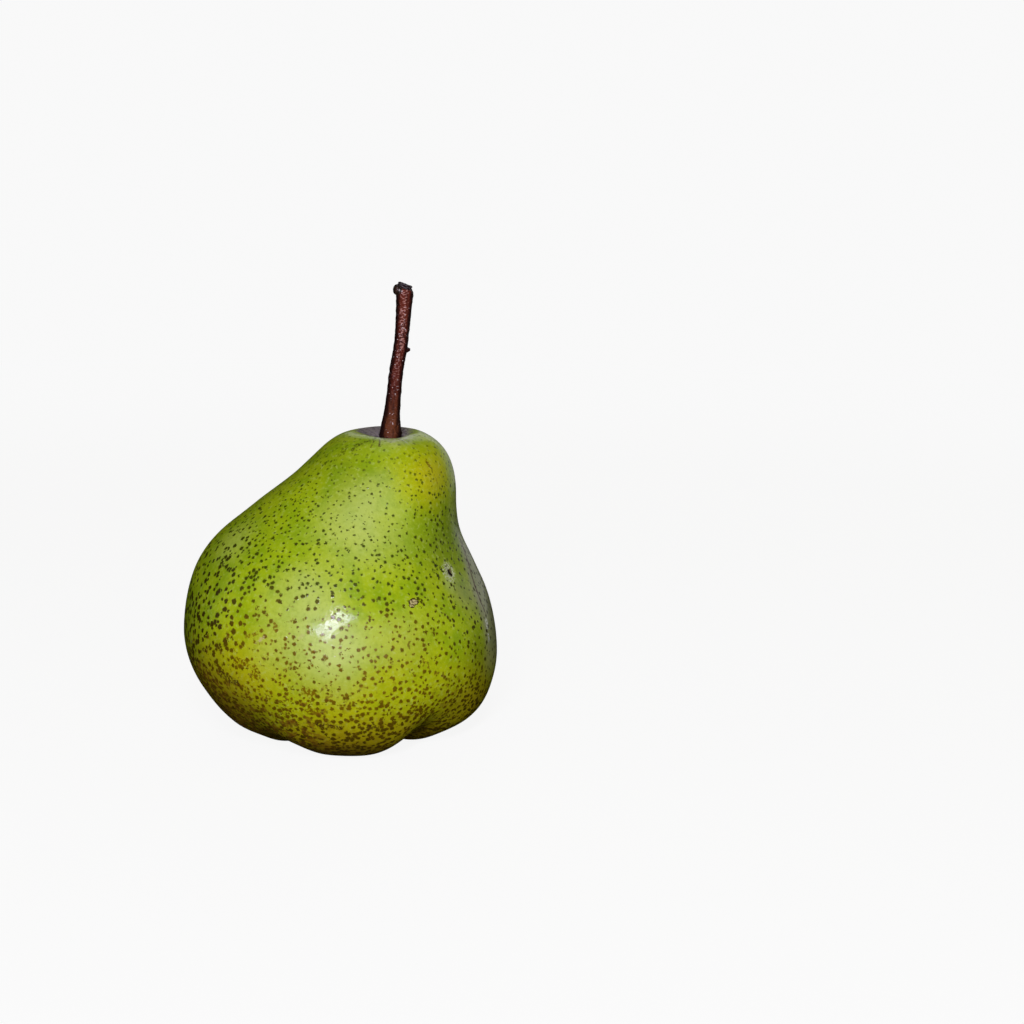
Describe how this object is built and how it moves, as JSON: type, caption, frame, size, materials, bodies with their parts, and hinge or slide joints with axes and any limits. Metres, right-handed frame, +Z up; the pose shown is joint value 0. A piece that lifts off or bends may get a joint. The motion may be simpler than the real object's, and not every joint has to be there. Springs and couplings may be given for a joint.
{
  "type": "pear",
  "caption": "Whole ripe pear with a leaning neck, a lobed base that it stands on, a woody stalk and the dried flower in its calyx pit.",
  "frame": {"origin": "on the surface that the pear stands on, under the middle of the fruit's outline", "axes": "+Z up, towards the stalk; +X towards the side that the neck leans to; -Y is the front"},
  "size_m": [0.0786, 0.0772, 0.1142],
  "materials": {
    "pear_skin": "waxy green skin with brown lenticel dots, yellower low down and russet at the base",
    "stalk_bark": "smooth reddish-brown bark with a satin shine and a grey broken end",
    "dried_sepal": "dry, brown and matt, with a pale downy tip",
    "dried_stamen": "dry, brown and matt"
  },
  "bodies": {
    "root": {"fruit": "pear_skin", "stalk": "stalk_bark", "sepal_1": "dried_sepal", "sepal_2": "dried_sepal", "sepal_3": "dried_sepal", "sepal_4": "dried_sepal", "sepal_5": "dried_sepal", "stamen_tuft": "dried_stamen"}
  },
  "joints": []
}
